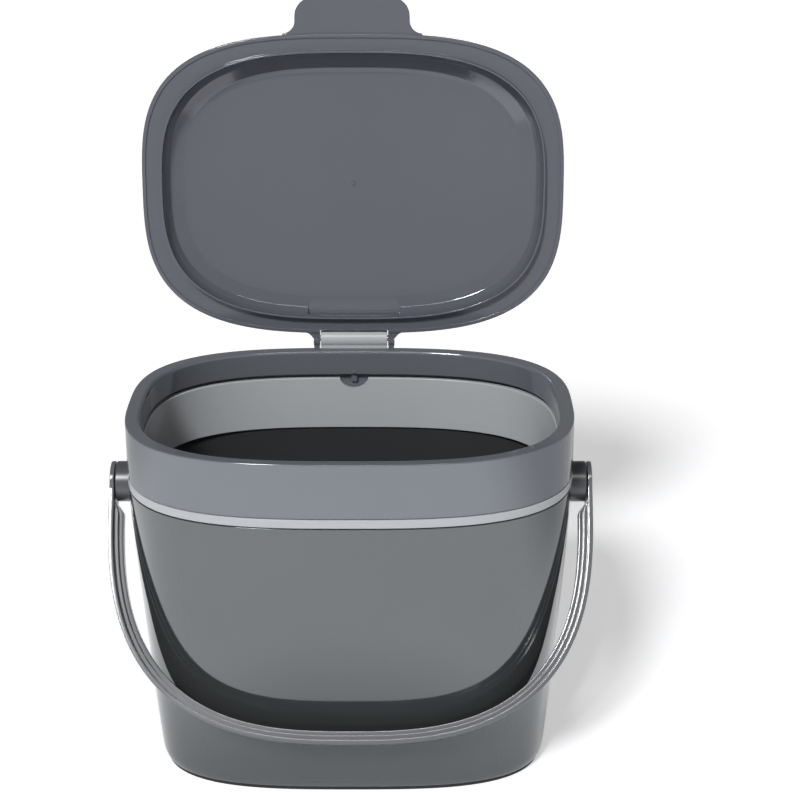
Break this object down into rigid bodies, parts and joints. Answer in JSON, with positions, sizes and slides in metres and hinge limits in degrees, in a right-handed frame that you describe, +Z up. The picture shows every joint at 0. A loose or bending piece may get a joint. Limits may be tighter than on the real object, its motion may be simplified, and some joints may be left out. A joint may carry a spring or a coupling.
{
  "type": "compost caddy",
  "caption": "Kitchen compost caddy: a tapered bucket with a clip-on collar, a light accent ring with a sleeve inside the mouth, a domed lid on a rear hinge that stands open by itself, and a swinging bail handle.",
  "frame": {"origin": "on the ground, under the middle of the base", "axes": "+Z up, front towards -Y, +X to the right as seen from the front"},
  "size_m": [0.2248, 0.173, 0.346],
  "materials": {
    "bucket": "charcoal grey polypropylene, satin gloss",
    "collar": "charcoal grey plastic, polished",
    "accent": "light grey plastic, satin",
    "foot": "black rubber, matte",
    "lid": "charcoal grey plastic, polished",
    "pin": "ground steel rod",
    "handle": "dark grey plastic, polished",
    "hub": "dark grey plastic, polished"
  },
  "bodies": {
    "base": {"bucket": "bucket", "collar": "collar", "accent_ring": "accent", "foot_ring": "foot", "pivot_hub_left": "hub", "pivot_hub_right": "hub"},
    "lid": {"lid": "lid", "hinge_pin": "pin"},
    "handle": {"handle": "handle"}
  },
  "joints": [
    {"name": "lid_hinge", "type": "hinge", "parent": "base", "child": "lid", "pos_m": [0, 0.0765, 0.1799], "axis": [1, 0, 0], "range_deg": [0, 96.05]},
    {"name": "handle_swing", "type": "hinge", "parent": "base", "child": "handle", "pos_m": [0, 0, 0.13595], "axis": [-1, 0, 0], "range_deg": [0, 186]}
  ]
}
